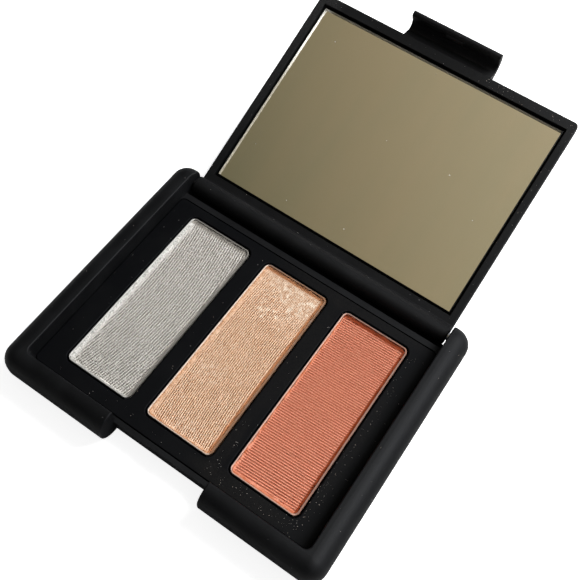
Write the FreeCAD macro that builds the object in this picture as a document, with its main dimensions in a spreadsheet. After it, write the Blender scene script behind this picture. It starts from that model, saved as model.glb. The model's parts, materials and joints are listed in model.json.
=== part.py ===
import FreeCAD, Part
import math
import os
import re
import Sketcher

# Slim trio eyeshadow compact: a full-round case with a hinged mirror lid, shown with the lid open.
# Millimetres. X runs along the hinge, +Y points to the hinge side and +Z is up.
# The origin is the middle of the underside.

SHEET = "Sizes"
SHADES = {"silver": -1, "gold": 0, "coral": 1}
SIDES = {"left": -1, "right": 1}
POINT_TOLERANCE = 1e-5

# Driving sizes, from the pans outwards
DRIVING = {
    # metal pans, the pressed powder in them and the glue under them
    "pan_width": 14.5,
    "pan_length": 39.0,
    "pan_height": 2.55,
    "pan_sheet": 0.3,
    "pan_corner": 1.2,
    "pan_foot_round": 0.6,
    "powder_drop": 0.45,
    "powder_crown": 0.12,
    "powder_gap": 0.05,
    "powder_land": 0.1,
    "powder_bank": 0.75,
    "powder_corner": 1.2,
    "glue_thick": 0.15,
    "glue_margin": 3.0,
    # tray frame round the pans
    "pan_gap": 0.35,
    "tray_bar": 3.43,
    "tray_side": 4.47,
    "tray_front": 3.15,
    "tray_rear": 2.15,
    "tray_plate": 1.2,
    "tray_skin": 0.9,
    "tray_edge": 0.2,
    "tray_gap": 0.15,
    # case
    "floor_thick": 1.4,
    "side_wall": 4.45,
    "front_wall": 3.9,
    "well_corner": 1.2,
    "ledge": 0.55,
    "rear_wall": 1.25,
    "edge_land": 1.0,
    "rim_edge": 0.3,
    # thumb notch and its catch ridge
    "notch_width": 21.2,
    "notch_depth": 3.5,
    "notch_foot": 1.2,
    "catch_length": 4.0,
    "catch_proud": 0.45,
    "catch_drop": 0.5,
    # lid, mirror and tape
    "lid_float": 0.7,
    "lid_web": 1.25,
    "lid_side_gap": 0.4,
    "lid_front_gap": 0.3,
    "lid_corner": 1.0,
    "lid_edge": 0.3,
    "frame_side": 1.6,
    "frame_front": 2.1,
    "frame_rear": 1.9,
    "mirror_gap": 0.45,
    "mirror_thick": 1.3,
    "mirror_sink": 0.5,
    "mirror_edge": 0.2,
    "tape_thick": 0.15,
    "tape_margin": 4.0,
    # hooked tab on the lid
    "tab_gap": 0.3,
    "tab_lip": 0.45,
    "tab_wall": 1.3,
    "tab_roof": 1.9,
    "tab_drop": 1.7,
    "tab_fillet": 1.5,
    "tab_root": 1.0,
    "bead_rise": 1.2,
    "bead_proud": 0.5,
    # hinge
    "barrel_radius": 1.9,
    "barrel_gap": 1.2,
    "barrel_root": 0.5,
    "heel_clear": 0.15,
    "pin_radius": 0.8,
    "pin_clear": 0.05,
    "pin_seat": 0.01,
    "pin_grip": 2.2,
    "pin_reach": 3.6,
    "pin_end_gap": 0.2,
    "pin_tip": 0.2,
    "open_angle": 156.9,
    # how far a cutting profile runs past the face it cuts
    "cut_over": 1.0,
}

# Sizes worked out from the driving ones
DERIVED = {
    "window_width": "pan_width + 2 * pan_gap",
    "window_length": "pan_length + 2 * pan_gap",
    "window_corner": "pan_corner + pan_gap",
    "pan_pitch": "window_width + tray_bar",
    "tray_width": "2 * (pan_pitch + window_width / 2 + tray_side)",
    "tray_depth": "tray_front + window_length + tray_rear",
    "tray_corner": "well_corner - tray_gap",
    "pocket_width": "tray_width + 2 * tray_gap",
    "pocket_depth": "tray_depth + 2 * tray_gap",
    "pan_floor": "floor_thick + glue_thick",
    "rim_height": "pan_floor + pan_height",
    "lid_thick": "lid_web + tape_thick + mirror_thick + mirror_sink",
    "lid_face": "rim_height + lid_float",
    "case_height": "lid_face + lid_thick",
    "case_width": "pocket_width + 2 * side_wall",
    "hinge_depth": "rear_wall + barrel_gap + 2 * barrel_radius",
    "case_depth": "front_wall + ledge + pocket_depth + hinge_depth",
    "half_width": "case_width / 2",
    "half_depth": "case_depth / 2",
    "edge_round": "(case_height - edge_land) / 2",
    "arm_x": "pocket_width / 2",
    "well_front": "front_wall - half_depth",
    "pocket_front": "well_front + ledge",
    "pocket_rear": "pocket_front + pocket_depth",
    "tray_y": "pocket_front + tray_gap + tray_depth / 2",
    "pan_y": "pocket_front + tray_gap + tray_front + window_length / 2",
    "channel_front": "pocket_rear + rear_wall",
    "axis_y": "half_depth - barrel_radius",
    "axis_z": "case_height / 2",
    "notch_face": "notch_depth - half_depth",
    "catch_z": "rim_height - catch_drop",
    "lid_x": "arm_x - lid_side_gap",
    "lid_front": "well_front + lid_front_gap",
    "barrel_front": "axis_y - barrel_radius",
    "recess_x": "lid_x - frame_side",
    "recess_front": "lid_front + frame_front",
    "recess_rear": "barrel_front - frame_rear",
    "recess_top": "case_height - lid_web",
    "mirror_x": "recess_x - mirror_gap",
    "mirror_front": "recess_front + mirror_gap",
    "mirror_rear": "recess_rear - mirror_gap",
    "mirror_face": "lid_face + mirror_sink",
    "heel_y": "half_depth - edge_round",
    "heel_z": "case_height - edge_round",
    "tab_width": "notch_width - 2 * tab_gap",
    "tab_front": "0 - half_depth - tab_lip",
    "tab_inside": "tab_front + tab_wall",
    "tab_round": "case_height - axis_z",
    "tab_foot": "axis_z - tab_drop",
    "tab_ceiling": "case_height - tab_roof",
    # the centre of the heel's round with the lid open, and the sill edge that it stops just short of
    "turn_cos": "cos(open_angle * 1 deg)",
    "turn_sin": "sin(open_angle * 1 deg)",
    "open_heel_y": "axis_y + (heel_y - axis_y) * turn_cos + (heel_z - axis_z) * turn_sin",
    "open_heel_z": "axis_z - (heel_y - axis_y) * turn_sin + (heel_z - axis_z) * turn_cos",
    "heel_reach": "edge_round + heel_clear",
    "sill_fall": "open_heel_z - floor_thick",
    "sill_rear": "open_heel_y - sqrt(heel_reach * heel_reach - sill_fall * sill_fall)",
}

doc = FreeCAD.newDocument("eyeshadow_compact")
sheet = doc.addObject("Spreadsheet::Sheet", SHEET)
pieces = []


def fill_sheet():
    """Write every size into the sheet under its own name."""
    rules = {name: "= " + rule for name, rule in DERIVED.items()}
    for row, (name, entry) in enumerate({**DRIVING, **rules}.items(), start=1):
        sheet.set(f"A{row}", name)
        sheet.set(f"B{row}", str(entry))
        sheet.setAlias(f"B{row}", name)
    doc.recompute()


def tied(rule):
    """Turn a rule in size names into an expression that reads the sheet."""
    return re.sub(r"\b[a-z]\w*", lambda word: f"{SHEET}.{word.group()}", rule)


def value(rule):
    """Work a rule out as a number."""
    return float(sheet.evalExpression(rule))


def new_body(name):
    """Start a piece as a body whose label is its name."""
    body = doc.addObject("PartDesign::Body", name)
    body.Label = name
    pieces.append(body)
    return body


def place(piece, x="0", y="0", z="0"):
    """Tie the place of a piece to the sheet."""
    for axis, rule in zip("xyz", (x, y, z)):
        piece.setExpression(f"Placement.Base.{axis}", tied(rule))


def open_lid(piece):
    """Turn a piece drawn in the closed lid about the hinge to the open pose."""
    vector = "create(<<vector>>; {}; {}; {})".format
    turn = f"create(<<rotation>>; {vector(1, 0, 0)}; 0 - {SHEET}.open_angle)"
    hinge = vector(0, f"{SHEET}.axis_y", f"{SHEET}.axis_z")
    piece.setExpression("Placement", f"create(<<placement>>; {vector(0, 0, 0)}; {turn}; {hinge})")


def new_sketch(body, name, plane, offset="0"):
    """Attach a sketch to one of the body's own origin planes, moved along its normal."""
    sketch = body.newObject("Sketcher::SketchObject", name)
    support = next(item for item in body.Origin.OriginFeatures if item.Role == plane + "_Plane")
    sketch.AttachmentSupport = [(support, "")]
    sketch.MapMode = "FlatFace"
    sketch.setExpression("AttachmentOffset.Base.z", tied(offset))
    return sketch


def fix(sketch, kind, geometry, rule):
    """Add a constraint whose size is tied to the sheet."""
    index = sketch.addConstraint(Sketcher.Constraint(kind, *geometry, value(rule)))
    sketch.setExpression(f"Constraints[{index}]", tied(rule))


def draw_arc(sketch, start, end, radius, turn):
    """Draw the short arc from start to end. Return its edge and its first and last point numbers."""
    middle = (start + end) / 2
    chord = end - start
    across = FreeCAD.Vector(-chord.y, chord.x, 0).normalize() * turn
    centre = middle + across * math.sqrt(max(radius ** 2 - (chord.Length / 2) ** 2, 0))
    ends = (start, end) if turn > 0 else (end, start)
    angles = [math.atan2(point.y - centre.y, point.x - centre.x) for point in ends]
    circle = Part.Circle(centre, FreeCAD.Vector(0, 0, 1), radius)
    edge = sketch.addGeometry(Part.ArcOfCircle(circle, *angles), False)
    return edge, (1, 2) if turn > 0 else (2, 1)


def outline(sketch, corners):
    """Draw a closed outline. Each corner holds two rules for its place.

    A corner with a radius and a turn (+1 left, -1 right) starts an arc, any other a straight line.
    """
    points = [FreeCAD.Vector(value(corner[0]), value(corner[1]), 0) for corner in corners]
    drawn = []
    for index, corner in enumerate(corners):
        start = points[index]
        end = points[(index + 1) % len(points)]
        if len(corner) == 4:
            drawn.append(draw_arc(sketch, start, end, value(corner[2]), corner[3]))
        else:
            drawn.append((sketch.addGeometry(Part.LineSegment(start, end), False), (1, 2)))
    for index, (edge, (first, last)) in enumerate(drawn):
        follower, (follower_first, _) = drawn[(index + 1) % len(drawn)]
        sketch.addConstraint(Sketcher.Constraint("Coincident", edge, last, follower, follower_first))
        fix(sketch, "DistanceX", (-1, 1, edge, first), corners[index][0])
        fix(sketch, "DistanceY", (-1, 1, edge, first), corners[index][1])
        if len(corners[index]) == 4:
            fix(sketch, "Radius", (edge,), corners[index][2])


def rectangle(sketch, left, right, front, rear):
    """Draw a rectangle between two places along X and two along Y."""
    outline(sketch, [(left, front), (right, front), (right, rear), (left, rear)])


def rounded_rectangle(sketch, left, right, front, rear, radius):
    """Draw a rectangle with round corners."""
    outline(sketch, [
        (f"{left} + {radius}", front),
        (f"{right} - {radius}", front, radius, 1),
        (right, f"{front} + {radius}"),
        (right, f"{rear} - {radius}", radius, 1),
        (f"{right} - {radius}", rear),
        (f"{left} + {radius}", rear, radius, 1),
        (left, f"{rear} - {radius}"),
        (left, f"{front} + {radius}", radius, 1),
    ])


def disc(sketch, x, y, radius):
    """Draw a circle."""
    centre = FreeCAD.Vector(value(x), value(y), 0)
    edge = sketch.addGeometry(Part.Circle(centre, FreeCAD.Vector(0, 0, 1), value(radius)), False)
    fix(sketch, "DistanceX", (-1, 1, edge, 3), x)
    fix(sketch, "DistanceY", (-1, 1, edge, 3), y)
    fix(sketch, "Radius", (edge,), radius)


def extrude(body, kind, sketch, length, symmetric=False, reverse=False):
    """Pad or pocket a sketch, and make sure that it changed the body the right way."""
    before = body.Shape.Volume if body.Tip else 0.0
    feature = body.newObject(f"PartDesign::{kind}", f"{sketch.Name}_{kind.lower()}")
    feature.Profile = sketch
    feature.setExpression("Length", tied(length))
    feature.SideType = "Symmetric" if symmetric else "One side"
    feature.Reversed = reverse
    doc.recompute()
    grown = feature.Shape.Volume - before
    if (grown > 0) != (kind == "Pad"):
        raise RuntimeError(f"{feature.Name} leaves {body.Label} as it was")
    return feature


def dress(body, kind, name, size, wanted):
    """Fillet or chamfer the edges of the body's last feature that pass a test."""
    base = body.Tip
    names = [f"Edge{number}" for number, edge in enumerate(base.Shape.Edges, start=1) if wanted(edge)]
    feature = body.newObject(f"PartDesign::{kind}", name)
    feature.Base = (base, names)
    feature.setExpression("Radius" if kind == "Fillet" else "Size", tied(size))
    doc.recompute()
    return feature


def near(first, second):
    """Tell whether two lengths are the same."""
    return abs(first - second) < POINT_TOLERANCE


def upright(edge):
    """Tell whether an edge runs straight up."""
    box = edge.BoundBox
    return near(box.XLength, 0) and near(box.YLength, 0)


def level_at(height):
    """Make a test for edges that lie flat at a height."""
    level = value(height)
    return lambda edge: near(edge.BoundBox.ZMin, level) and near(edge.BoundBox.ZMax, level)


def case_opening_edge():
    """Make a test for the top edges of the lid's well and the front edges of the notch."""
    top = level_at("case_height")
    case_front = value("0 - half_depth")
    well_front = value("well_front") - POINT_TOLERANCE
    arm_x = value("arm_x") + POINT_TOLERANCE
    notch_x = value("notch_width / 2")

    def wanted(edge):
        box = edge.BoundBox
        on_rim = top(edge) and box.YMin > well_front and max(-box.XMin, box.XMax) < arm_x
        at_notch = near(abs(box.XMin), notch_x) and near(abs(box.XMax), notch_x)
        on_notch = at_notch and near(box.YMin, case_front)
        return on_rim or on_notch

    return wanted


def make_base_shell():
    """Case: a full-round block with the lid's well, the tray's pocket, hinge arms and a thumb notch."""
    body = new_body("base_shell")
    block = new_sketch(body, "case_block", "XY")
    rectangle(block, "0 - half_width", "half_width", "0 - half_depth", "half_depth")
    extrude(body, "Pad", block, "case_height")
    dress(body, "Fillet", "case_edges", "edge_round", lambda edge: True)

    # the well that the closed lid drops into, open at the back between the arms
    well = new_sketch(body, "lid_well", "XY", "rim_height")
    rounded_rectangle(well, "0 - arm_x", "arm_x", "well_front", "half_depth + edge_round", "well_corner")
    extrude(body, "Pocket", well, "case_height", reverse=True)

    # the pocket that the tray sits in
    pocket = new_sketch(body, "tray_pocket", "XY", "floor_thick")
    rounded_rectangle(pocket, "0 - arm_x", "arm_x", "pocket_front", "pocket_rear", "well_corner")
    extrude(body, "Pocket", pocket, "rim_height - floor_thick", reverse=True)

    # the channel for the lid's barrel, with a sill that the opened heel stops against
    channel = new_sketch(body, "hinge_channel", "YZ")
    outline(channel, [
        ("channel_front", "case_height + cut_over"),
        ("channel_front", "floor_thick"),
        ("sill_rear", "floor_thick"),
        ("sill_rear", "0 - cut_over"),
        ("half_depth + cut_over", "0 - cut_over"),
        ("half_depth + cut_over", "case_height + cut_over"),
    ])
    extrude(body, "Pocket", channel, "pocket_width", symmetric=True)

    # the notch that the lid's tab closes over
    notch = new_sketch(body, "thumb_notch", "YZ")
    outline(notch, [
        ("notch_face", "rim_height"),
        ("well_front + cut_over", "rim_height"),
        ("well_front + cut_over", "case_height + cut_over"),
        ("0 - half_depth - cut_over", "case_height + cut_over"),
        ("0 - half_depth - cut_over", "0 - cut_over"),
        ("notch_face + notch_foot + cut_over", "0 - cut_over"),
        ("notch_face", "notch_foot"),
    ])
    extrude(body, "Pocket", notch, "notch_width", symmetric=True)
    dress(body, "Fillet", "opening_edges", "rim_edge", case_opening_edge())

    catch = new_sketch(body, "catch_ridge", "YZ")
    disc(catch, "notch_face", "catch_z", "catch_proud")
    extrude(body, "Pad", catch, "catch_length", symmetric=True)

    # blind seats for the hinge pins in both arms
    seats = new_sketch(body, "pin_seats", "YZ")
    disc(seats, "axis_y", "axis_z", "pin_radius + pin_seat")
    extrude(body, "Pocket", seats, "2 * (arm_x + pin_grip)", symmetric=True)


def make_pan_tray():
    """Tray: a moulded frame with a window for each pan, cored out below its bars."""
    body = new_body("pan_tray")
    frame = new_sketch(body, "tray_frame", "XY", "floor_thick")
    rounded_rectangle(frame, "0 - tray_width / 2", "tray_width / 2",
                      "tray_y - tray_depth / 2", "tray_y + tray_depth / 2", "tray_corner")
    extrude(body, "Pad", frame, "rim_height - floor_thick")
    windows = new_sketch(body, "pan_windows", "XY", "floor_thick")
    for slot in SHADES.values():
        middle = f"{slot} * pan_pitch"
        rounded_rectangle(windows, f"{middle} - window_width / 2", f"{middle} + window_width / 2",
                          "pan_y - window_length / 2", "pan_y + window_length / 2", "window_corner")
    extrude(body, "Pocket", windows, "rim_height", reverse=True)
    dress(body, "Fillet", "tray_edges", "tray_edge", level_at("rim_height"))

    cores = new_sketch(body, "bar_cores", "XY", "floor_thick")
    side_x = "(pan_pitch + window_width / 2 + tray_side / 2)"
    for middle, width in ((f"0 - {side_x}", "tray_side"), ("0 - pan_pitch / 2", "tray_bar"),
                          ("pan_pitch / 2", "tray_bar"), (side_x, "tray_side")):
        half_core = f"({width} / 2 - tray_skin)"
        rectangle(cores, f"{middle} - {half_core}", f"{middle} + {half_core}",
                  "pan_y - window_length / 2", "pan_y + window_length / 2")
    extrude(body, "Pocket", cores, "rim_height - floor_thick - tray_plate", reverse=True)


def make_pan(shade, slot):
    """Pan: a shallow drawn tin with round corners and an open top."""
    body = new_body(f"{shade}_pan")
    blank = new_sketch(body, f"{shade}_pan_blank", "XY")
    rounded_rectangle(blank, "0 - pan_width / 2", "pan_width / 2",
                      "0 - pan_length / 2", "pan_length / 2", "pan_corner")
    extrude(body, "Pad", blank, "pan_height")
    dress(body, "Fillet", f"{shade}_pan_foot", "pan_foot_round", level_at("0"))
    hollow = new_sketch(body, f"{shade}_pan_hollow", "XY", "pan_sheet")
    half_width = "(pan_width / 2 - pan_sheet)"
    half_length = "(pan_length / 2 - pan_sheet)"
    rounded_rectangle(hollow, f"0 - {half_width}", half_width, f"0 - {half_length}", half_length,
                      "(pan_corner - pan_sheet)")
    extrude(body, "Pocket", hollow, "pan_height", reverse=True)
    dress(body, "Fillet", f"{shade}_pan_inner_foot", "pan_foot_round - pan_sheet", level_at("pan_sheet"))
    place(body, f"{slot} * pan_pitch", "pan_y", "pan_floor")


def make_powder(shade, slot):
    """Powder: a pressed cake with a sunk field, and a bank round it that climbs to the pan's rim."""
    body = new_body(f"{shade}_powder")
    cake = new_sketch(body, f"{shade}_cake", "XY", "pan_sheet")
    half_width = "(pan_width / 2 - pan_sheet - powder_gap)"
    half_length = "(pan_length / 2 - pan_sheet - powder_gap)"
    rounded_rectangle(cake, f"0 - {half_width}", half_width, f"0 - {half_length}", half_length,
                      "(pan_corner - pan_sheet)")
    extrude(body, "Pad", cake, "pan_height - pan_sheet - powder_crown")
    dress(body, "Fillet", f"{shade}_cake_foot", "pan_foot_round - pan_sheet + powder_gap",
          level_at("pan_sheet"))
    rings = []
    for ring, inset, drop in (("bank_top", "powder_land", "powder_crown"),
                              ("bank_foot", "powder_bank", "powder_drop")):
        rings.append(new_sketch(body, f"{shade}_{ring}", "XY", f"pan_height - {drop}"))
        rounded_rectangle(rings[-1], f"{inset} - {half_width}", f"{half_width} - {inset}",
                          f"{inset} - {half_length}", f"{half_length} - {inset}", "powder_corner")
    field = body.newObject("PartDesign::SubtractiveLoft", f"{shade}_field")
    field.Profile = rings[0]
    field.Sections = rings[1:]
    doc.recompute()
    place(body, f"{slot} * pan_pitch", "pan_y", "pan_floor")


def make_glue(shade, slot):
    """Glue: the thin spot that holds a pan to the case floor."""
    glue = doc.addObject("Part::Box", f"{shade}_pan_glue")
    glue.Label = glue.Name
    pieces.append(glue)
    glue.setExpression("Length", tied("pan_width - 2 * glue_margin"))
    glue.setExpression("Width", tied("pan_length - 2 * glue_margin"))
    glue.setExpression("Height", tied("glue_thick"))
    place(glue, f"{slot} * pan_pitch - pan_width / 2 + glue_margin",
          "pan_y - pan_length / 2 + glue_margin", "floor_thick")


def make_lid_shell():
    """Lid, drawn closed: a plate with a mirror recess, a round heel on a barrel and a hooked tab."""
    body = new_body("lid_shell")
    side = new_sketch(body, "lid_side", "YZ")
    outline(side, [
        ("lid_front", "case_height"),
        ("lid_front", "lid_face"),
        ("barrel_front - barrel_root", "lid_face", "barrel_root", -1),
        ("barrel_front", "lid_face - barrel_root"),
        ("barrel_front", "axis_z", "barrel_radius", 1),
        ("axis_y", "axis_z - barrel_radius", "barrel_radius", 1),
        ("half_depth", "axis_z"),
        ("half_depth", "heel_z", "edge_round", 1),
        ("heel_y", "case_height"),
    ])
    extrude(body, "Pad", side, "2 * lid_x", symmetric=True)
    lid_front = value("lid_front")
    dress(body, "Fillet", "lid_corners", "lid_corner",
          lambda edge: upright(edge) and near(edge.BoundBox.YMin, lid_front))

    recess = new_sketch(body, "mirror_recess", "XY", "lid_face")
    rectangle(recess, "0 - recess_x", "recess_x", "recess_front", "recess_rear")
    extrude(body, "Pocket", recess, "recess_top - lid_face", reverse=True)

    bore = new_sketch(body, "pin_bore", "YZ", "lid_x - pin_reach - pin_end_gap")
    disc(bore, "axis_y", "axis_z", "pin_radius + pin_clear")
    right_bore = extrude(body, "Pocket", bore, "pin_reach + pin_end_gap + cut_over", reverse=True)
    both_bores = body.newObject("PartDesign::Mirrored", "both_bores")
    both_bores.Originals = [right_bore]
    both_bores.MirrorPlane = (bore.AttachmentSupport[0][0], [""])
    body.Tip = both_bores
    doc.recompute()

    # the tab carries the case's round front edge over the notch and ends in a thumb hook
    tab = new_sketch(body, "tab_hook", "YZ")
    outline(tab, [
        ("lid_front + tab_root", "case_height"),
        ("tab_front + tab_round", "case_height", "tab_round", 1),
        ("tab_front", "axis_z"),
        ("tab_front", "tab_foot + tab_wall / 2", "tab_wall / 2", 1),
        ("tab_front + tab_wall / 2", "tab_foot", "tab_wall / 2", 1),
        ("tab_inside", "tab_foot + tab_wall / 2"),
        ("tab_inside", "tab_ceiling - tab_fillet", "tab_fillet", -1),
        ("tab_inside + tab_fillet", "tab_ceiling"),
        ("lid_front", "lid_face"),
        ("lid_front + tab_root", "lid_face"),
    ])
    extrude(body, "Pad", tab, "tab_width", symmetric=True)
    # the outer edges of lid and tab, without the lines where the flat top runs on into a round
    top = level_at("case_height")
    run_on = (value("heel_y"), value("tab_front + tab_round"))
    dress(body, "Fillet", "lid_edges", "lid_edge",
          lambda edge: top(edge) and not any(near(edge.BoundBox.YMin, place) for place in run_on))

    # a bead inside the hook, across from the ridge in the notch
    bead = new_sketch(body, "tab_bead", "YZ")
    disc(bead, "tab_inside", "tab_foot + bead_rise", "bead_proud")
    extrude(body, "Pad", bead, "catch_length", symmetric=True)
    open_lid(body)


def make_mirror_glass():
    """Mirror: a glass plate with a ground edge, face down in the closed lid."""
    body = new_body("mirror_glass")
    plate = new_sketch(body, "mirror_plate", "XY", "mirror_face")
    rectangle(plate, "0 - mirror_x", "mirror_x", "mirror_front", "mirror_rear")
    extrude(body, "Pad", plate, "mirror_thick")
    dress(body, "Chamfer", "mirror_ground_edge", "mirror_edge", level_at("mirror_face"))
    open_lid(body)


def make_mirror_tape():
    """Tape: the sheet that holds the mirror to the lid."""
    body = new_body("mirror_tape")
    strip = new_sketch(body, "tape_strip", "XY", "mirror_face + mirror_thick")
    rectangle(strip, "tape_margin - mirror_x", "mirror_x - tape_margin",
              "mirror_front + tape_margin", "mirror_rear - tape_margin")
    extrude(body, "Pad", strip, "tape_thick")
    open_lid(body)


def make_hinge_pin(side, sign):
    """Pin: a short steel rod, pressed into an arm and running free in the lid's barrel."""
    body = new_body(f"{side}_hinge_pin")
    rod = new_sketch(body, f"{side}_rod", "YZ")
    disc(rod, "axis_y", "axis_z", "pin_radius")
    extrude(body, "Pad", rod, "pin_grip + lid_side_gap + pin_reach", symmetric=True)
    dress(body, "Chamfer", f"{side}_rod_tips", "pin_tip", lambda edge: near(edge.BoundBox.XLength, 0))
    place(body, f"{sign} * (lid_x - pin_reach + (pin_grip + lid_side_gap + pin_reach) / 2)")


def check_document():
    """Stop if any object failed or any piece is not one valid solid."""
    for item in doc.Objects:
        if {"Invalid", "Error"} & set(item.State):
            raise RuntimeError(f"{item.Name} failed: {item.State}")
    for piece in pieces:
        shape = piece.Shape
        if shape.isNull() or not shape.isValid() or len(shape.Solids) != 1:
            raise RuntimeError(f"{piece.Label} is not one valid solid")


def write_parts():
    """Write each piece to a file of its own."""
    os.makedirs("parts", exist_ok=True)
    for piece in pieces:
        piece.Shape.exportStep(f"parts/{piece.Label}.step")


fill_sheet()
make_base_shell()
make_pan_tray()
for shade, slot in SHADES.items():
    make_pan(shade, slot)
    make_powder(shade, slot)
    make_glue(shade, slot)
make_lid_shell()
make_mirror_glass()
make_mirror_tape()
for side, sign in SIDES.items():
    make_hinge_pin(side, sign)
doc.recompute()
check_document()
write_parts()
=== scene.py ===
import bmesh
import bpy
import json
import math
import random
from mathutils import Matrix, Vector, noise


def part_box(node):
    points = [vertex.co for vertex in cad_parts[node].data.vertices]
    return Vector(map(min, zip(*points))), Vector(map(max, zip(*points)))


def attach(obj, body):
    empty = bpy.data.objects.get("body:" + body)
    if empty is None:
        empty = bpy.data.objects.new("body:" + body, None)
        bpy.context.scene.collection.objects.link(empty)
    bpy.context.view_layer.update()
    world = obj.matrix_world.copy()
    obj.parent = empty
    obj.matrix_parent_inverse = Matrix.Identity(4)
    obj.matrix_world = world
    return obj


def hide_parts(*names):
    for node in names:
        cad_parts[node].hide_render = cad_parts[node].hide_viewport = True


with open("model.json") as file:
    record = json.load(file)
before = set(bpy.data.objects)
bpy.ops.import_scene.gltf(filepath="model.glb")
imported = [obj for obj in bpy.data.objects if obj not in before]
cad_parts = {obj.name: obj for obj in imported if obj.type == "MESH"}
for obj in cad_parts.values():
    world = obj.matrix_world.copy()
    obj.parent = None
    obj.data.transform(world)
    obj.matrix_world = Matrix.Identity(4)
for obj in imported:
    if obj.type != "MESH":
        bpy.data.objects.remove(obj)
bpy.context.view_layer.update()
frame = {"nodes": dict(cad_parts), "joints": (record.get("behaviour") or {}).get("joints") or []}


# Case
# The base is one injection moulding in black plastic, sprayed with a soft-touch lacquer that
# gives it a dull, slightly rubbery skin. Handling leaves faint smears and dust on it.
nodes = frame["nodes"]
MM = 0.001


class Wire:
    """A socket of a finish. Arithmetic on wires adds Math nodes to the finish."""

    def __init__(self, finish, socket):
        self.finish = finish
        self.socket = socket

    def maths(self, operation, first, second):
        settings = {"operation": operation}
        return self.finish.node("ShaderNodeMath", settings, {0: first, 1: second})

    def __add__(self, other):
        return self.maths("ADD", self, other)

    def __radd__(self, other):
        return self.maths("ADD", other, self)

    def __sub__(self, other):
        return self.maths("SUBTRACT", self, other)

    def __rsub__(self, other):
        return self.maths("SUBTRACT", other, self)

    def __mul__(self, other):
        return self.maths("MULTIPLY", self, other)

    def __rmul__(self, other):
        return self.maths("MULTIPLY", other, self)

    def __pow__(self, other):
        return self.maths("POWER", self, other)

    def larger(self, other):
        return self.maths("MAXIMUM", self, other)


class Finish:
    """The shading of a material, or of the world, under construction."""

    # where the Mix node keeps its share and its colours
    MIX_SHARE, MIX_FIRST, MIX_SECOND, MIX_COLOUR = 0, 6, 7, 2

    def __init__(self, name, family=bpy.data.materials, surface="Principled BSDF", **plain):
        self.holder = family.new(name)
        self.holder.use_nodes = True
        self.tree = self.holder.node_tree
        self.surface = self.tree.nodes[surface]
        for socket, level in plain.items():
            self.surface.inputs[socket.replace("_", " ")].default_value = level

    def node(self, kind, settings, inputs, output=0):
        """Add a node, set it up, feed its sockets with levels or wires, and return an output."""
        made = self.tree.nodes.new(kind)
        for name, setting in settings.items():
            if name == "stops":
                for place, _ in setting[:-2]:
                    made.color_ramp.elements.new(place)
                for stop, (place, shade) in zip(made.color_ramp.elements, setting):
                    stop.position = place
                    stop.color = (*shade, 1)
            else:
                setattr(made, name, setting)
        for name, feed in inputs.items():
            if isinstance(feed, Wire):
                self.tree.links.new(feed.socket, made.inputs[name])
            else:
                made.inputs[name].default_value = feed
        return Wire(self, made.outputs[output])

    def place(self, centre=(0, 0, 0), scale=1 / MM):
        """The point on the piece, from a centre in metres, in millimetres or at another scale."""
        point = self.node("ShaderNodeTexCoord", {}, {}, "Object")
        shift = tuple(-scale * step for step in centre)
        settings = {"vector_type": "POINT"}
        inputs = {"Vector": point, "Location": shift, "Scale": (scale, scale, scale)}
        return self.node("ShaderNodeMapping", settings, inputs)

    def along(self, point, axis):
        """One coordinate of a point."""
        return self.node("ShaderNodeSeparateXYZ", {}, {"Vector": point}, axis)

    def cloud(self, point, scale, detail=2.0):
        """Soft noise, with scale in lumps to a unit of the point."""
        inputs = {"Vector": point, "Scale": scale, "Detail": detail}
        return self.node("ShaderNodeTexNoise", {}, inputs, "Fac")

    def cells(self, point, scale):
        """Random cells: how far a point is from the middle of its cell, and the cell's number."""
        gap = self.node("ShaderNodeTexVoronoi", {}, {"Vector": point, "Scale": scale}, "Distance")
        return gap, self.along(Wire(self, gap.socket.node.outputs["Color"]), "X")

    def step(self, level, low, high, kind="SMOOTHSTEP"):
        """A step of a level from 0 to 1 between two limits, soft unless another kind is named."""
        settings = {"interpolation_type": kind}
        inputs = {"Value": level, "From Min": low, "From Max": high}
        return self.node("ShaderNodeMapRange", settings, inputs)

    def blend(self, share, first, second):
        """Two colours mixed by a share."""
        first = first if isinstance(first, Wire) else (*first, 1)
        second = second if isinstance(second, Wire) else (*second, 1)
        inputs = {self.MIX_SHARE: share, self.MIX_FIRST: first, self.MIX_SECOND: second}
        return self.node("ShaderNodeMix", {"data_type": "RGBA"}, inputs, self.MIX_COLOUR)

    def bump(self, height, depth):
        """A relief, with depth in metres."""
        inputs = {"Height": height, "Distance": depth, "Strength": 1.0}
        return self.node("ShaderNodeBump", {}, inputs)

    def feed(self, **wires):
        """Join wires to the surface, and return the finished material or world."""
        for socket, wire in wires.items():
            self.tree.links.new(wire.socket, self.surface.inputs[socket.replace("_", " ")])
        return self.holder


DUST_GREY = (0.16, 0.155, 0.15)
POWDER_FILM = (0.050, 0.044, 0.037)


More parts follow.
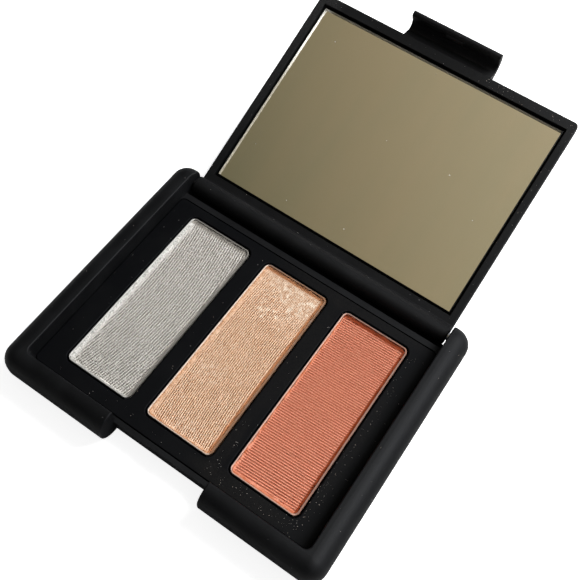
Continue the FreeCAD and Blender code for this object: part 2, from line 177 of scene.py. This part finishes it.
def soft_touch(name, colour, smear, dull, gloss, dust, haze_and_sheen=(), film_and_sheen_colour=POWDER_FILM):
    """Black plastic, lacquered or bare: fine orange peel, faint smears and a share of dusty cells.

    A haze of powder, and on the lid a painted sheen, is its middle, its reach both ways, in
    millimetres, and its share.
    """
    finish = Finish(name, Specular_IOR_Level=gloss)
    point = finish.place()
    patches = finish.step(finish.cloud(point, scale=0.16, detail=4.0), 0.42, 0.72)
    tint = finish.blend(patches, colour, smear)
    grain = finish.step(finish.cloud(point, scale=5.0, detail=1.0), 0.35, 0.75)
    tint = finish.blend(grain * 0.5, tint, smear)
    for x, y, wide, deep, share in haze_and_sheen:
        aside = (finish.along(point, "X") - x) * (1 / wide)
        ahead = (finish.along(point, "Y") - y) * (1 / deep)
        # the film is powder on the tray, and a grey painted sheen on the lid
        film_and_sheen = finish.step(aside * aside + ahead * ahead, 1.0, 0.2) * (0.3 + grain * 0.7)
        tint = finish.blend(film_and_sheen * share, tint, film_and_sheen_colour)
    gap, luck = finish.cells(point, scale=1.4)
    specks = finish.step(gap, 0.16, 0.06) * finish.step(luck, 1 - dust, 1 - dust / 2)
    tint = finish.blend(specks, tint, DUST_GREY)
    orange_peel = finish.bump(finish.cloud(point, scale=9.0, detail=3.0), depth=0.012 * MM)
    rough = dull + patches * 0.06 + grain * 0.05
    return finish.feed(Base_Color=tint, Roughness=rough, Normal=orange_peel)


def dress(piece, material):
    """Give a piece its finish."""
    piece.data.materials.clear()
    piece.data.materials.append(material)


dress(nodes["base_shell"], soft_touch(
    "case_soft_touch", colour=(0.0028, 0.0030, 0.0035), smear=(0.0060, 0.0063, 0.0070),
    dull=0.52, gloss=0.12, dust=0.03))


# Hinge pins
# Two short lengths of drawn steel rod, pressed into the arms of the case. Only the ends that
# cross the gap beside the barrel can be seen.
def drawn_steel():
    finish = Finish("drawn_steel", Metallic=1.0)
    point = finish.place()
    across = finish.node("ShaderNodeMapping", {}, {"Vector": point, "Scale": (0.3, 6.0, 6.0)})
    lines = finish.cloud(across, scale=3.0)
    tint = finish.blend(lines, (0.42, 0.42, 0.43), (0.62, 0.62, 0.63))
    return finish.feed(Base_Color=tint, Roughness=0.25 + lines * 0.2)


pin_steel = drawn_steel()
for side in ("left", "right"):
    dress(nodes[f"{side}_hinge_pin"], pin_steel)


# Pan tray
# A thin moulded frame in the same black plastic, left unlacquered, so that it looks blacker than
# the case. It drops into the case and holds the pans apart.
TRAY_HAZE = (
    (27.2, -4, 1.8, 18, 0.08),
    (15, -21.8, 13, 2.4, 0.12),
    (8.6, -16, 2.0, 8, 0.10),
    (12, 21.6, 22, 3.6, 0.10),
    (9.2, 5, 2.6, 18, 0.08),
)
dress(nodes["pan_tray"], soft_touch(
    "tray_plastic", colour=(0.0007, 0.0009, 0.0015), smear=(0.0016, 0.0018, 0.0023),
    dull=0.52, gloss=0.076, dust=0.04, haze_and_sheen=TRAY_HAZE))


# Pan glue
# A spot of soft cream glue holds each pan to the floor of the case. The pans hide it.
def soft_glue():
    finish = Finish("soft_glue", Roughness=0.5)
    lumps = finish.cloud(finish.place(), scale=0.8)
    return finish.feed(Base_Color=finish.blend(lumps, (0.50, 0.44, 0.33), (0.62, 0.57, 0.46)))


cream_glue = soft_glue()
for shade in ("silver", "gold", "coral"):
    dress(nodes[f"{shade}_pan_glue"], cream_glue)


# Pans
# Shallow tins, drawn from thin tinned sheet and trimmed level. Their rims show as pale lines
# round the powder, with some of the powder smeared on to the metal.
PAN_CORNER = 1.2
RIM_INSIDE = 0.6
RIM_OUTSIDE = 0.4
PAN_EDGE_SHADE = (0.02, 0.019, 0.018)


def tinned_sheet(shade, left_front_rim_tint, stain):
    """Tinned sheet stained by powder, paler on two rims, with painted shade round its outer edge.
    """
    low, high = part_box(f"{shade}_pan")
    half = (high - low) / 2 / MM
    finish = Finish(f"{shade}_pan_tin", Specular_IOR_Level=0.2)
    point = finish.place((low + high) / 2)
    scuffs = finish.cloud(point, scale=4.0, detail=3.0)
    tint = finish.blend(scuffs, (0.20, 0.19, 0.18), (0.32, 0.305, 0.29))
    across = finish.along(point, "X")
    along = finish.along(point, "Y")
    left = finish.step(across, RIM_INSIDE - half.x, RIM_OUTSIDE - half.x)
    front = finish.step(along, RIM_INSIDE - half.y, RIM_OUTSIDE - half.y)
    smears = finish.step(finish.cloud(point, scale=0.7, detail=4.0), 0.25, 0.55)
    cover = 0.6 + smears * 0.4
    tint = finish.blend(cover, tint, stain)
    # the left rim, and half as much the front one, are paler than the rest
    tint = finish.blend(left.larger(front * 0.5) * (0.5 + smears * 0.5), tint, left_front_rim_tint)
    # painted shade along the pan's outer edge, where it meets the tray's window
    aside = (0 - across - (half.x - PAN_CORNER)).larger(0)
    ahead = (along.larger(0 - along) - (half.y - PAN_CORNER)).larger(0)
    reach = (aside * aside + ahead * ahead) ** 0.5
    edge_shade = finish.step(reach, PAN_CORNER - 0.13, PAN_CORNER - 0.05)
    tint = finish.blend(edge_shade, tint, PAN_EDGE_SHADE)
    return finish.feed(Base_Color=tint, Metallic=0.4 - cover * 0.4, Roughness=0.42 + cover * 0.3)


dress(nodes["silver_pan"], tinned_sheet(
    "silver", left_front_rim_tint=(0.76, 0.75, 0.72), stain=(0.20, 0.187, 0.165)))
dress(nodes["gold_pan"], tinned_sheet(
    "gold", left_front_rim_tint=(0.95, 0.78, 0.65), stain=(0.28, 0.145, 0.078)))
dress(nodes["coral_pan"], tinned_sheet(
    "coral", left_front_rim_tint=(0.80, 0.50, 0.40), stain=(0.34, 0.175, 0.125)))


# Powder cakes
# Loose shadow powder is pressed into each pan through a ribbed cloth, which leaves its weave on
# the middle of the cake. Round that field a plain bank of powder climbs to the rim of the pan.
FIELD_DROP = 0.45 * MM
CAKE_CORNER = 0.85 * MM
CORNER_CUTS = 16
BANK_STEPS = 10
BANK_RAGGED = 0.25 * MM
# the ragged foot of the banks is the same in every run
noise.seed_set(11)


def pick(piece, kind, wanted):
    """Select the vertices, edges or faces of a piece in edit mode that pass a test."""
    bpy.ops.mesh.select_mode(type=kind)
    bpy.ops.mesh.select_all(action="DESELECT")
    mesh = bmesh.from_edit_mesh(piece.data)
    for part in {"VERT": mesh.verts, "EDGE": mesh.edges, "FACE": mesh.faces}[kind]:
        part.select_set(wanted(part))
    mesh.select_flush_mode()
    bmesh.update_edit_mesh(piece.data)


def ribbed_sheet(name, length, width, pitch, rib, weave, dent, bow):
    """A sheet with the cloth's ribs along X, four rows of points to a rib, and the weave across."""
    rows = 4 * math.ceil(width / pitch)
    columns = 2 * math.ceil(length / weave)
    bpy.ops.object.select_all(action="DESELECT")
    bpy.ops.mesh.primitive_grid_add(x_subdivisions=columns, y_subdivisions=rows, size=1)
    sheet = bpy.context.object
    sheet.name = name
    sheet.scale = (columns * weave / 2, rows * pitch / 4, 1)
    bpy.ops.object.transform_apply(scale=True)

    def row(point):
        return round(point.co.y / (pitch / 4)) % 4

    def column(point):
        return round(point.co.x / (weave / 2)) % 2

    bpy.ops.object.mode_set(mode="EDIT")
    pick(sheet, "VERT", lambda point: row(point) == 1)
    bpy.ops.transform.translate(value=(0, 0, rib / 2))
    pick(sheet, "VERT", lambda point: row(point) == 3)
    bpy.ops.transform.translate(value=(0, 0, -rib / 2))
    pick(sheet, "VERT", lambda point: row(point) != 3 and column(point) == 1)
    bpy.ops.transform.translate(value=(0, 0, -dent))
    bpy.ops.mesh.select_all(action="SELECT")
    bpy.ops.transform.vertex_random(offset=0.2 * rib, seed=len(name))
    bpy.ops.object.mode_set(mode="OBJECT")
    bend = sheet.modifiers.new("bend", "SIMPLE_DEFORM")
    bend.deform_method = "BEND"
    bend.deform_axis = "Z"
    bend.angle = math.radians(bow)
    bpy.ops.object.modifier_apply(modifier=bend.name)
    return sheet


def press_cake(shade, banks, pitch, rib, weave, dent, turn, bow, worn=lambda place: 0):
    """Press a cake: a ribbed field, with banks of four widths (left, right, front, rear) round it.

    Worn tells how far a place lies inside a patch that a brush has rubbed, in millimetres.
    """
    low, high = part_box(f"{shade}_powder")
    middle = (low + high) / 2
    half = (high - low) / 2
    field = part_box(f"{shade}_pan")[1].z - FIELD_DROP
    spare = 6 * MM
    length, width = (half.x, half.y) if abs(turn) < 45 else (half.y, half.x)
    cake = ribbed_sheet(f"{shade}_cake", 2 * length + spare, 2 * width + spare,
                        pitch * MM, rib * MM, weave * MM, dent * MM, bow)
    cake.rotation_euler.z = math.radians(turn)
    cake.location = (middle.x, middle.y, field)
    bpy.ops.object.transform_apply(location=True, rotation=True, scale=True)

    # trim the sheet to the inside of the pan, with round corners
    bpy.ops.object.mode_set(mode="EDIT")
    for cut in range(CORNER_CUTS):
        angle = cut * math.tau / CORNER_CUTS
        facing = Vector((math.cos(angle), math.sin(angle), 0))
        reach = (abs(facing.x) * (half.x - CAKE_CORNER) + abs(facing.y) * (half.y - CAKE_CORNER)
                 + CAKE_CORNER)
        bpy.ops.mesh.select_all(action="SELECT")
        bpy.ops.mesh.bisect(plane_co=middle + facing * reach, plane_no=facing, clear_outer=True)

    def climb(point):
        """How far up the bank a point is, from 0 at the field to 1 at the rim."""
        left, right, front, rear = (bank * MM for bank in banks)
        place = point.co - middle + BANK_RAGGED * noise.noise_vector(point.co / MM * 0.6)
        aside = max((left - half.x - place.x) / left, (place.x - half.x + right) / right, 0)
        ahead = max((front - half.y - place.y) / front, (place.y - half.y + rear) / rear, 0)
        return math.hypot(aside, ahead)

    def wear(point):
        """How far inside the worn patch a point is."""
        return worn((point.co - middle) / MM)

    # raise the bank in small steps from a soft foot, and smooth it and the worn patch
    for step in range(BANK_STEPS):
        pick(cake, "VERT", lambda point: climb(point) > ((step + 0.5) / BANK_STEPS) ** 0.6)
        bpy.ops.transform.translate(value=(0, 0, (high.z - field) / BANK_STEPS))
    for level, passes in ((0.15, 1), (0.45, 2), (0.7, 3)):
        pick(cake, "VERT", lambda point: climb(point) > level and not point.is_boundary)
        bpy.ops.mesh.vertices_smooth(factor=0.5, repeat=passes)
    for level, passes in ((0.0, 1), (2.0, 1), (4.0, 3)):
        pick(cake, "VERT", lambda point: wear(point) > level and not point.is_boundary)
        bpy.ops.mesh.vertices_smooth(factor=0.5, repeat=passes)

    # draw the edge down to the floor of the pan and close it
    pick(cake, "EDGE", lambda edge: edge.is_boundary)
    bpy.ops.mesh.extrude_edges_move(TRANSFORM_OT_translate={"value": (0, 0, low.z - field)})
    bpy.ops.transform.resize(value=(1, 1, 0), center_override=(middle.x, middle.y, low.z))
    bpy.ops.mesh.edge_face_add()
    bpy.ops.mesh.select_all(action="SELECT")
    bpy.ops.mesh.normals_make_consistent(inside=False)
    bpy.ops.object.mode_set(mode="OBJECT")
    bpy.ops.object.shade_smooth_by_angle(angle=math.radians(50))
    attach(cake, "base")
    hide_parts(f"{shade}_powder")
    return cake


def pressed_powder(shade, banks, rib, field, groove_shade_and_dark_grain, glint_and_smear, bank, crust, side, rear_bank_and_shade, dull, shine,
                   rubs=()):
    """Pressed powder: painted shade in the grooves of the cloth mark, and painted glints of mica.

    The left bank is mottled with bank and crust, the front one is crust, and side and
    rear_bank_and_shade colour the right and rear ones, darkened there as painted shade. A rub is
    its middle, its radius, in millimetres, and its share.
    """
    low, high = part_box(f"{shade}_powder")
    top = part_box(f"{shade}_pan")[1].z - FIELD_DROP
    half = (high - low) / 2 / MM
    finish = Finish(f"{shade}_pressed_powder", Specular_IOR_Level=0.06)
    point = finish.place(((low.x + high.x) / 2, (low.y + high.y) / 2, top))
    across = finish.along(point, "X")
    along = finish.along(point, "Y")
    # painted shade: the lower a point of the cloth mark lies, the darker it is, towards the groove
    # colour
    out_of_groove_shade = finish.step(finish.along(point, "Z"), -rib * 0.55, rib * 0.35)
    tint = finish.blend(out_of_groove_shade, groove_shade_and_dark_grain, field)

    # pale smears where a brush has rubbed the cloth mark away
    cloud = finish.cloud(point, scale=1.1, detail=5.0)
    # the pale rubbed smears take the same pale colour as the painted glints
    for x, y, radius, share in rubs:
        spot = (across - x) * (across - x) + (along - y) * (along - y)
        patch = finish.step(spot, radius * radius, 0.0) * share
        tint = finish.blend(patch * finish.step(cloud, 0.46, 0.66), tint, glint_and_smear)
        tint = finish.blend(patch * finish.step(cloud, 0.46, 0.30) * 0.6, tint, groove_shade_and_dark_grain)

    # painted glints of mica, as bright grains and sparks, with darker grains between them
    grains = finish.cloud(point, scale=4.2, detail=3.0)
    tint = finish.blend(finish.step(grains, 0.51, 0.66) * shine, tint, glint_and_smear)
    tint = finish.blend(finish.step(grains, 0.47, 0.32) * shine, tint, groove_shade_and_dark_grain)
    gap, luck = finish.cells(point, scale=6.0)
    spark = finish.step(gap, 0.45, 0.2) * finish.step(luck, 0.88, 0.96)
    tint = finish.blend(spark * shine, tint, glint_and_smear)

    # the plain bank, mottled on the left and packed smooth on the other sides, with painted shade
    # darkening the right and rear banks
    ragged = (cloud - 0.5) * 1.2
    left = finish.step(across + ragged, banks[0] * 1.2 - half.x, -half.x)
    front = finish.step(along + ragged, banks[2] * 1.2 - half.y, -half.y)
    right = finish.step(across + ragged * 0.2, half.x - banks[1], half.x - banks[1] * 0.6)
    rear = finish.step(along + ragged * 0.2, half.y - banks[3], half.y - banks[3] * 0.6)
    mottle = finish.step(finish.cloud(point, scale=3.4, detail=5.0), 0.38, 0.60)
    tint = finish.blend(left, tint, finish.blend(mottle, crust, bank))
    tint = finish.blend(front, tint, crust)
    # painted shade: the right and rear banks are darkened, on top of the powder's own colour
    tint = finish.blend(right, tint, side)
    tint = finish.blend(rear, tint, rear_bank_and_shade)
    relief = finish.bump(finish.cloud(point, scale=7.0, detail=2.0), depth=0.06 * MM)
    return finish.feed(Base_Color=tint, Roughness=dull - spark * 0.2, Normal=relief)


SILVER_BANKS = (1.1, 0.3, 0.3, 1.1)
SILVER_RIB = 0.24
silver_cake = press_cake("silver", SILVER_BANKS, pitch=0.50, rib=SILVER_RIB, weave=0.36, dent=0.09,
                         turn=88.6, bow=30.0)
dress(silver_cake, pressed_powder(
    "silver", SILVER_BANKS, SILVER_RIB,
    field=(0.75, 0.710, 0.650), groove_shade_and_dark_grain=(0.145, 0.132, 0.115), glint_and_smear=(0.90, 0.88, 0.84),
    bank=(0.81, 0.80, 0.77), crust=(0.38, 0.37, 0.345), side=(0.62, 0.58, 0.53),
    rear_bank_and_shade=(0.38, 0.350, 0.310), dull=0.5, shine=0.75))


def brushed_patch(place):
    """How far a place on the gold cake lies inside the patch where a brush wore the ribs off."""
    return place.y - 15 + 0.6 * (place.x + 6) + 5 * noise.noise(place * 0.35)


GOLD_BANKS = (1.0, 0.75, 0.7, 0.9)
GOLD_RIB = 0.25
GOLD_RUBS = (
    (0.0, 15.5, 8.0, 0.35),
    (5.5, 15.8, 3.2, 0.8),
    (3.0, 13.3, 2.0, 0.6),
    (-0.35, 16.2, 2.6, 0.6),
    (0.3, 10.6, 1.8, 0.9),
    (-2.0, 10.0, 2.4, 0.7),
    (-2.5, -6.5, 3.5, 0.35),
    (0.5, -17, 4.0, 0.3),
)
gold_cake = press_cake("gold", GOLD_BANKS, pitch=0.41, rib=GOLD_RIB, weave=0.34, dent=0.07,
                       turn=90.8, bow=-15.0, worn=brushed_patch)
dress(gold_cake, pressed_powder(
    "gold", GOLD_BANKS, GOLD_RIB,
    field=(1.0, 0.735, 0.530), groove_shade_and_dark_grain=(0.33, 0.130, 0.047), glint_and_smear=(1.0, 0.86, 0.69),
    bank=(0.70, 0.42, 0.26), crust=(0.42, 0.20, 0.098), side=(0.58, 0.255, 0.118),
    rear_bank_and_shade=(0.60, 0.265, 0.122), dull=0.5, shine=0.45, rubs=GOLD_RUBS))

CORAL_BANKS = (0.35, 0.65, 0.7, 1.0)
CORAL_RIB = 0.17
coral_cake = press_cake("coral", CORAL_BANKS, pitch=0.49, rib=CORAL_RIB, weave=0.40, dent=0.04,
                        turn=2.7, bow=0.0)
dress(coral_cake, pressed_powder(
    "coral", CORAL_BANKS, CORAL_RIB,
    field=(0.83, 0.341, 0.226), groove_shade_and_dark_grain=(0.47, 0.123, 0.060), glint_and_smear=(0.90, 0.45, 0.31),
    bank=(0.60, 0.195, 0.095), crust=(0.48, 0.135, 0.060), side=(0.36, 0.068, 0.023),
    rear_bank_and_shade=(0.36, 0.068, 0.023), dull=0.8, shine=0.28))


# Loose powder
# Crumbs and dust that a brush has dragged out of the pans lie on the tray and the case, thickest
# beside the coral cake.
CRUMB_SIZES = (0.05, 0.06, 0.07, 0.09, 0.12)
DROP_HEIGHT = 30


def make_crumb():
    """One crumb: a small ball of a few faces, knocked out of round."""
    bpy.ops.object.select_all(action="DESELECT")
    bpy.ops.mesh.primitive_ico_sphere_add(subdivisions=1, radius=0.5 * MM)
    crumb = bpy.context.object
    bpy.ops.object.mode_set(mode="EDIT")
    bpy.ops.mesh.select_all(action="SELECT")
    bpy.ops.transform.vertex_random(offset=0.15 * MM, seed=2)
    bpy.ops.object.mode_set(mode="OBJECT")
    return crumb


def loose_powder():
    finish = Finish("loose_powder", Roughness=0.8)
    point = finish.place()
    luck = finish.cells(point, scale=0.7)[1]
    tint = finish.blend(luck, (0.42, 0.41, 0.39), (0.55, 0.40, 0.31))
    grain = finish.cloud(point, scale=12.0)
    return finish.feed(Base_Color=finish.blend(grain * 0.5, tint, (0.80, 0.76, 0.71)))


def scatter(name, body, carriers, patches, turn, seed):
    """Drop crumbs on their carriers. A patch is its left, right, front and rear limits and a count.

    The turn takes a place drawn with the carriers level to where they are.
    """
    dice = random.Random(seed)
    down = turn.to_3x3() @ Vector((0, 0, -1))
    copies = []
    for left, right, front, rear, count in patches:
        for _ in range(count):
            place = Vector((dice.uniform(left, right), dice.uniform(front, rear), DROP_HEIGHT))
            above = turn @ (MM * place)
            size = dice.choice(CRUMB_SIZES)
            spin = dice.uniform(0, math.tau)
            hits = [nodes[carrier].ray_cast(above, down) for carrier in carriers]
            landings = [landing for hit, landing, _, _ in hits if hit]
            if not landings:
                continue
            copy = crumb.copy()
            copy.data = crumb.data.copy()
            bpy.context.collection.objects.link(copy)
            copy.location = min(landings, key=lambda landing: (landing - above).length)
            copy.rotation_euler = (spin, 2 * spin, 3 * spin)
            copy.scale = (size, size, size)
            copies.append(copy)
    bpy.ops.object.select_all(action="DESELECT")
    for copy in copies:
        copy.select_set(True)
    bpy.context.view_layer.objects.active = copies[0]
    bpy.ops.object.join()
    bpy.ops.object.transform_apply(location=True, rotation=True, scale=True)
    dust = bpy.context.object
    dust.name = name
    dress(dust, powder_dust)
    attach(dust, body)


crumb = make_crumb()
powder_dust = loose_powder()
BASE_PATCHES = (
    (26.2, 28.0, -22, 18, 90),
    (28.0, 30.6, -22, 20, 14),
    (11, 27, -23.3, -20.3, 60),
    (7.7, 10.9, -23, -10, 26),
    (7.7, 10.9, -10, 20, 10),
    (-30, 7, -23.3, -20.3, 16),
    (-11, -7.6, -20, 20, 10),
    (-30.4, -26.3, -20, 20, 8),
    (31, 34.5, -24, 24, 9),
    (-34, -31, -24, 24, 6),
    (-7.4, -6.7, -20, 19, 16),
)
scatter("base_dust", "base", ("base_shell", "pan_tray", "gold_pan"), BASE_PATCHES,
        turn=Matrix(), seed=4)


# Lid
# The lid is moulded like the case and has the same lacquer. A barrel along its rear edge turns
# on the pins, and a hooked tab on its front edge closes into the thumb notch.
# painted sheen: a grey film that brightens the left side of the frame and, more faintly, its front
# part
LID_PAINTED_SHEEN = (
    (-30.5, 80, 7, 48, 0.42),
    (-30.5, 82, 7, 26, 0.36),
    (30, 79, 40, 14, 0.22),
)
LID_SHEEN_GREY = (0.048, 0.048, 0.048)
dress(nodes["lid_shell"], soft_touch(
    "lid_soft_touch", colour=(0.0024, 0.0025, 0.0028), smear=(0.0050, 0.0051, 0.0055),
    dull=0.56, gloss=0.140, dust=0.08, haze_and_sheen=LID_PAINTED_SHEEN, film_and_sheen_colour=LID_SHEEN_GREY))


# Mirror tape
# A sheet of white foam tape between the mirror and the lid. The mirror hides it.
def foam_tape():
    finish = Finish("foam_tape", Roughness=0.8)
    cells = finish.cloud(finish.place(), scale=2.5)
    return finish.feed(Base_Color=finish.blend(cells, (0.66, 0.66, 0.63), (0.78, 0.78, 0.75)))


dress(nodes["mirror_tape"], foam_tape())


# Mirror
# Float glass, silvered on the back, with a ground edge that shows through the glass as a pale
# border, with a painted white highlight by its front left corner. It is stuck a little below the
# frame of the lid, and loose powder leaves specks on it.
hinge = frame["joints"][0]
pivot = Vector(hinge["pos_m"])
opened = math.radians(hinge["range_deg"][1])
turn_open = (Matrix.Translation(pivot) @ Matrix.Rotation(-opened, 4, Vector(hinge["axis"]))
             @ Matrix.Translation(-pivot))
SILVER_DEPTH = 0.6 * MM
EDGE_LAND = 0.1 * MM
EDGE_BEVEL = 0.12 * MM
LEVEL_WITHIN = 1e-7
# places in the plate's list of materials, after the dark edge
GROUND_SLOT = 1
SILVERED_SLOT = 2


def make_mirror():
    """Draw the plate as it lies in the closed lid, face down, and turn it open with the lid."""
    closed = [turn_open.inverted() @ corner.co for corner in nodes["mirror_glass"].data.vertices]
    low = Vector([min(corner[axis] for corner in closed) for axis in range(3)])
    high = Vector([max(corner[axis] for corner in closed) for axis in range(3)])
    bpy.ops.object.select_all(action="DESELECT")
    bpy.ops.mesh.primitive_cube_add(size=1, location=(low + high) / 2)
    plate = bpy.context.object
    plate.name = "mirror_plate"
    plate.scale = high - low
    bpy.ops.object.transform_apply(location=True, rotation=True, scale=True)
    for material in (dark_edge(), ground_glass(), silvered_glass()):
        plate.data.materials.append(material)

    def on_face(edge):
        return all(abs(end.co.z - low.z) < LEVEL_WITHIN for end in edge.verts)

    bpy.ops.object.mode_set(mode="EDIT")
    pick(plate, "EDGE", on_face)
    bpy.ops.mesh.bevel(offset=EDGE_BEVEL, segments=2, affect="EDGES")
    pick(plate, "FACE", lambda face: face.normal.z < -0.9)
    bpy.ops.mesh.inset(thickness=EDGE_LAND)
    plate.active_material_index = GROUND_SLOT
    bpy.ops.object.material_slot_assign()
    bpy.ops.mesh.inset(thickness=EDGE_LAND / 10, depth=-SILVER_DEPTH)
    plate.active_material_index = SILVERED_SLOT
    bpy.ops.object.material_slot_assign()
    bpy.ops.object.mode_set(mode="OBJECT")
    plate.matrix_world = turn_open
    bpy.ops.object.transform_apply(location=True, rotation=True, scale=True)
    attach(plate, "lid")
    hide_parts("mirror_glass")


def dark_edge():
    finish = Finish("dark_edge", Roughness=0.3, Specular_IOR_Level=0.2)
    chips = finish.cloud(finish.place(), scale=3.0, detail=3.0)
    tint = finish.blend(chips, (0.004, 0.004, 0.004), (0.012, 0.012, 0.011))
    return finish.feed(Base_Color=tint)


def ground_glass():
    """Dull where the grind is smooth, with a painted white highlight by the front left corner."""
    finish = Finish("ground_glass", Roughness=0.5)
    point = finish.place()
    chips = finish.cloud(point, scale=3.0, detail=3.0)
    aside = finish.step(finish.along(point, "X"), -26.0, -28.0)
    painted_highlight = aside * finish.step(finish.along(point, "Y"), 52.0, 62.0)
    smooth = finish.blend(chips, (0.19, 0.177, 0.137), (0.35, 0.33, 0.26))
    return finish.feed(Base_Color=finish.blend(painted_highlight, smooth, (0.82, 0.82, 0.78)))


def silvered_glass():
    finish = Finish("silvered_glass")
    point = finish.place()
    inputs = {"Vector": point, "Rotation": (0, 0, 0.5), "Scale": (0.12, 0.02, 0.02)}
    stretched = finish.node("ShaderNodeMapping", {}, inputs)
    wipe = finish.step(finish.cloud(stretched, scale=1.0, detail=3.0), 0.35, 0.65)
    tint = finish.blend(wipe, (0.92, 0.90, 0.83), (0.96, 0.915, 0.84))
    gap, luck = finish.cells(point, scale=0.8)
    specks = finish.step(gap, 0.12, 0.06) * finish.step(luck, 0.97, 0.98)
    rough = 0.02 + wipe * 0.03 + specks * 0.6
    return finish.feed(Base_Color=tint, Metallic=1 - specks, Roughness=rough)


make_mirror()


# Dust on the lid
# Some of the loose powder has fallen on the frame round the mirror, most of it on the right of the
# front edge and down the right side.
LID_PATCHES = (
    (-30, 30, -23.5, -21.8, 20),
    (8, 30, -23.5, -21.8, 26),
    (28.9, 30.3, -23, 22, 26),
    (-30.3, -28.9, -23, 22, 9),
    (-30, 30, 22.4, 24, 5),
)
face_up = turn_open @ Matrix.Scale(-1, 4, Vector((0, 0, 1)))
scatter("lid_dust", "lid", ("lid_shell",), LID_PATCHES, turn=face_up, seed=9)
bpy.data.objects.remove(crumb)


# Studio
# A white floor and surround, a soft lamp from behind on the right, one beside it that only adds
# sheen, and a grey tent with a taupe card above the mirror, which only reflections show.
SURROUND_LIGHT = 0.12
LAMP_WIDTH = 0.4


def white_floor():
    """Matt white that glows to the camera, so that only the shadow on it is seen."""
    finish = Finish("white_floor", Base_Color=(0.8, 0.8, 0.8, 1), Roughness=0.9,
                    Emission_Strength=0.85)
    seen = finish.node("ShaderNodeLightPath", {}, {}, "Is Camera Ray")
    return finish.feed(Emission_Color=finish.blend(seen, (0, 0, 0), (1, 1, 1)))


def white_surround():
    """White to the camera, in reflections and through glass, and dim as a light."""
    finish = Finish("white_surround", bpy.data.worlds, "Background", Color=(1, 1, 1, 1))
    seen = finish.node("ShaderNodeLightPath", {}, {}, "Is Camera Ray")
    for ray in ("Is Glossy Ray", "Is Transmission Ray"):
        seen = seen.larger(finish.node("ShaderNodeLightPath", {}, {}, ray))
    return finish.feed(Strength=SURROUND_LIGHT + seen * (1 - SURROUND_LIGHT))


def soft_lamp(name, place, energy):
    """A square lamp that faces the middle of the compact."""
    bpy.ops.object.light_add(type="AREA", location=place)
    lamp = bpy.context.object
    lamp.name = name
    lamp.data.size = LAMP_WIDTH
    lamp.data.energy = energy
    lamp.rotation_euler = Vector(place).to_track_quat("Z", "Y").to_euler()
    return lamp


bpy.ops.object.select_all(action="DESELECT")
bpy.ops.mesh.primitive_plane_add(size=6.0)
floor = bpy.context.object
floor.name = "floor"
dress(floor, white_floor())

bpy.context.scene.world = white_surround()

key_lamp = soft_lamp("key_lamp", place=(0.31, 0.52, 0.50), energy=9.2)
key_lamp.visible_glossy = False
sheen_lamp = soft_lamp("sheen_lamp", place=(0.38, 0.20, 0.63), energy=8.2)
sheen_lamp.data.color = (0.94, 0.97, 1.0)
sheen_lamp.visible_diffuse = False

TENT_WIDTH = 4
TENT_HEIGHT = 0.6
TENT_GREYS = (
    (0.0, (0.05, 0.05, 0.052)),
    (0.15, (0.11, 0.11, 0.115)),
    (0.42, (0.44, 0.44, 0.46)),
    (1.0, (1.5, 1.5, 1.6)),
)
TENT_FRONT = (0.055, 0.055, 0.057)
TENT_FAR_RIGHT = (0.30, 0.30, 0.31)
CARD_TAUPES = (
    (0.0, (0.04, 0.036, 0.021)),
    (0.147, (0.140, 0.127, 0.074)),
    (0.318, (0.262, 0.222, 0.135)),
    (0.422, (0.330, 0.285, 0.180)),
    (1.0, (0.68, 0.60, 0.42)),
)
CARD_X = -0.14
CARD_Y = -0.09


def tent_cloth():
    """Cloth that glows more towards the right, with the card on its roof. Places are in metres."""
    finish = Finish("tent_cloth", Base_Color=(0, 0, 0, 1), Emission_Strength=1.0)
    point = finish.place(scale=1.0)
    across = finish.along(point, "X")
    along = finish.along(point, "Y")

    def glow(stops, slant):
        """A ramp of colours from the left to the right, slanted towards the rear."""
        level = finish.step(across * 0.8 + along * slant, -0.42, 0.5, kind="LINEAR")
        return finish.node("ShaderNodeValToRGB", {"stops": stops}, {"Fac": level})

    grey = glow(TENT_GREYS, slant=0.15)
    grey = finish.blend(finish.step(along, -0.3, -0.9), grey, TENT_FRONT)
    grey = finish.blend(finish.step(across, 1.1, 1.9), grey, TENT_FAR_RIGHT)
    aside = (across - CARD_X) * (across - CARD_X)
    ahead = (along - CARD_Y) * (along - CARD_Y)
    card = finish.step(aside, 0.200, 0.060) * finish.step(ahead, 0.180, 0.050)
    return finish.feed(Emission_Color=finish.blend(card, grey, glow(CARD_TAUPES, slant=0.5)))


bpy.ops.object.select_all(action="DESELECT")
bpy.ops.mesh.primitive_cube_add(size=1, location=(0, 0, TENT_HEIGHT / 2))
tent = bpy.context.object
tent.name = "reflected_tent"
tent.scale = (TENT_WIDTH, TENT_WIDTH, TENT_HEIGHT)
bpy.ops.object.transform_apply(location=True, rotation=True, scale=True)
bpy.ops.object.mode_set(mode="EDIT")
pick(tent, "FACE", lambda face: face.normal.z < -0.9)
bpy.ops.mesh.delete(type="FACE")
bpy.ops.object.mode_set(mode="OBJECT")
dress(tent, tent_cloth())
tent.visible_camera = False
tent.visible_diffuse = False
tent.visible_transmission = False
tent.visible_shadow = False

# the camera stands where the photograph was taken from
bpy.ops.object.camera_add(location=(0.03675, -0.0522, 0.14536))
camera = bpy.context.object
camera.rotation_euler = [math.radians(turn) for turn in (28.712, -3.297, 34.190)]
camera.data.lens = 50.542
camera.data.sensor_width = 36.0
camera.data.clip_start = 0.005
bpy.context.scene.camera = camera
bpy.context.scene.view_settings.view_transform = "Standard"
